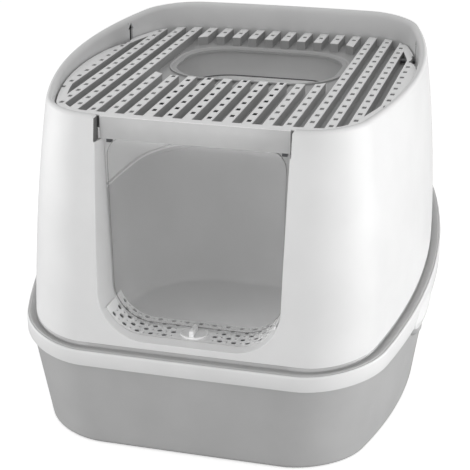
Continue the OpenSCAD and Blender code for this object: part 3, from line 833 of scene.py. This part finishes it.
class LITTERBOX_OT_sill(bpy.types.Operator):
    """Perforated white sill strip with rounded hole edges, over a dark sheet of painted shade"""
    bl_idname = "litterbox.sill"
    bl_label = "Sill strip"

    def execute(self, context):
        strip = copy_of("sill_strip", "perforated_sill")
        carve(strip, block("rear_half", (-120, SILL_REAR_Y, 90), (120, -120, 200)))
        # A dark sheet of painted shade under the strip, seen through its holes, in the dark grey of the pins.
        shade_sheet = self.shade_sheet()
        dress(strip, bright_polypropylene(), "hood", ["sill_strip"], 40)
        dress(shade_sheet, dark_acetal(), "hood", (), 40)
        return {"FINISHED"}

    def shade_sheet(self):
        """Dark sheet of painted shade under the strip, which makes its holes read as the unlit gap over the tub."""
        line = []
        for r, turn in ((43.35, 1), (43.9, -1)):
            half = arc(46.8, 167.4, r, 270, 270 + 66, 14)
            line += ([(-x, z) for x, z in half[::-1]] + half)[::turn]
        return loft("sill_shade_sheet", [[(x * MM, y * MM, z * MM) for x, z in line] for y in (-210.2, -169.5)])


class LITTERBOX_OT_grate(bpy.types.Operator):
    """Grey top grate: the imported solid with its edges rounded"""
    bl_idname = "litterbox.grate"
    bl_label = "Top grate"

    def execute(self, context):
        sizes = context.scene.box_sizes
        deck = copy_of("lid_grate", "top_grate")
        soften(deck, sizes.edge_round / MM, 2, 40)
        dress(deck, light_grey_polypropylene(), "lid", ["lid_grate"], 40)
        return {"FINISHED"}


class LITTERBOX_OT_collar(bpy.types.Operator):
    """Dished collar of the entry hole"""
    bl_idname = "litterbox.collar"
    bl_label = "Entry collar"

    def execute(self, context):
        floor = context.scene.box_sizes.grate_top / MM - 10

        def oval(grow, z):
            w, y0, y1, r = 86 + grow, 8 - grow, 130 + grow, 46 + grow
            points = arc(w - r, y0 + r, r, -90, 0, 16) + arc(w - r, y1 - r, r, 0, 90, 16)
            points += arc(r - w, y1 - r, r, 90, 180, 16) + arc(r - w, y0 + r, r, 180, 270, 16)
            return [(x * MM, y * MM, z * MM) for x, y in points]

        rings = [oval(12, floor + 0.1), oval(12, floor + 1.1), oval(11.8, floor + 1.5), oval(11.3, floor + 1.65),
                 oval(10.6, floor + 1.4), oval(9.6, floor + 0.4), oval(8.4, floor - 1.8), oval(7.2, floor - 5.4),
                 oval(6, floor - 10), oval(4.8, floor - 15), oval(3.6, floor - 20), oval(2.4, floor - 24.6),
                 oval(1.2, floor - 28), oval(0, floor - 29.6), oval(-0.4, floor - 30.2), oval(0, floor - 30.8),
                 oval(1.4, floor - 30.6), oval(3.4, floor - 28), oval(6.6, floor - 16), oval(8.6, floor - 6),
                 oval(9.6, floor + 0.05)]
        collar = loft("entry_collar", rings, closed=True)
        dress(collar, collar_polypropylene(), "lid", ["entry_funnel"], 40)
        return {"FINISHED"}


class LITTERBOX_OT_door(bpy.types.Operator):
    """Smoky swing door with rounded corners and its hinge barrel"""
    bl_idname = "litterbox.door"
    bl_label = "Swing door"

    def execute(self, context):
        thick = context.scene.box_sizes.door_thickness / MM
        low, high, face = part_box("door_flap")[0].z / MM, 322.0, -187.0
        half_low, half_high = 87.0, 89.4
        line = arc(-(half_low - 40), low + 40, 40, 180, 270, 20)
        line += arc(half_low - 40, low + 40, 40, 270, 360, 20)
        line += arc(half_high - 21, high - 21, 21, 0, 90, 14)
        line += arc(-(half_high - 21), high - 21, 21, 90, 180, 14)
        layers = [(face, 0.5), (face + 0.12, 0.15), (face + 0.45, 0), (face + thick - 0.45, 0),
                  (face + thick - 0.12, 0.15), (face + thick, 0.5)]
        rings = []
        for y, e in layers:
            rings.append([(x * (1 - e / 88) * MM, y * MM, ((z - 225) * (1 - e / 98) + 225) * MM)
                          for x, z in line])
        panel = loft("door_panel", rings)
        barrel = rod("door_barrel", (0, -183, 323.5), 3.6, 128, "x", 0.4)
        web = block("door_web", (-64, -187, 319.5), (64, -184.6, 323.5), 0.3)
        panel = join(panel, barrel, web)
        dress(panel, smoky_polycarbonate(), "door", ["door_flap"], 35)
        return {"FINISHED"}


class LITTERBOX_OT_knob(bpy.types.Operator):
    """White turn knob: a low disc with an upright fin"""
    bl_idname = "litterbox.knob"
    bl_label = "Turn knob"

    def execute(self, context):
        d = context.scene.box_sizes.knob_diameter / MM
        z, y = 125.4, -195.0
        disc = rod("turn_knob", (0, y, z + 0.8), d / 2, 1.6, "z", 0.3, 64)
        carve(disc, rod("finger_dish", (0, y, z + 1.6), d / 2 - 1.8, 1.4, "z", 0.6, 64))
        stem = rod("knob_stem", (0, y, z - 3.6), 5, 7.6, "z", 0.3)
        fin = block("knob_fin", (-2.6, y - d / 2 + 1.4, z + 0.2), (2.6, y + 5, z + 8), 2.0, 5)
        knob = join(disc, stem, fin)
        dress(knob, bright_polypropylene(), "knob", ["latch_knob"], 40)
        return {"FINISHED"}


class LITTERBOX_OT_hinges(bpy.types.Operator):
    """Dark hangers, hinge rod, grate pins and knob washer"""
    bl_idname = "litterbox.hinges"
    bl_label = "Hinges and pins"

    def execute(self, context):
        hangers = copy_of("door_hangers", "door_hanger_lugs")
        soften(hangers, 0.5, 2, 40)
        dress(hangers, dark_acetal(), "lid", ["door_hangers"], 40)
        for node_name in ("door_hinge_rod", "lid_hinge_pins", "latch_retainer"):
            paint_node(node_name, dark_acetal())
        return {"FINISHED"}


class LITTERBOX_PT_sidebar(bpy.types.Panel):
    """Lists the steps that build the box"""
    bl_label = "Litter Box"
    bl_idname = "LITTERBOX_PT_sidebar"
    bl_space_type = "VIEW_3D"
    bl_region_type = "UI"
    bl_category = "Litter Box"

    def draw(self, context):
        for item in STEPS:
            self.layout.operator(item.bl_idname)
        for group in (context.scene.box_sizes, context.scene.box_colours):
            column = self.layout.column()
            for key in group.__annotations__:
                column.prop(group, key)


STEPS = (LITTERBOX_OT_stage, LITTERBOX_OT_tub, LITTERBOX_OT_ring, LITTERBOX_OT_hood, LITTERBOX_OT_sill,
         LITTERBOX_OT_grate, LITTERBOX_OT_collar, LITTERBOX_OT_door, LITTERBOX_OT_knob, LITTERBOX_OT_hinges)
CLASSES = (BoxSizes, BoxColours) + STEPS + (LITTERBOX_PT_sidebar,)


def register():
    for item in CLASSES:
        bpy.utils.register_class(item)
    bpy.types.Scene.box_sizes = bpy.props.PointerProperty(type=BoxSizes)
    bpy.types.Scene.box_colours = bpy.props.PointerProperty(type=BoxColours)


def unregister():
    del bpy.types.Scene.box_sizes
    del bpy.types.Scene.box_colours
    for item in reversed(CLASSES):
        bpy.utils.unregister_class(item)


def main():
    register()
    for item in STEPS:
        group, name = item.bl_idname.split(".")
        getattr(getattr(bpy.ops, group), name)()
    deselect()


if __name__ == "__main__":
    main()
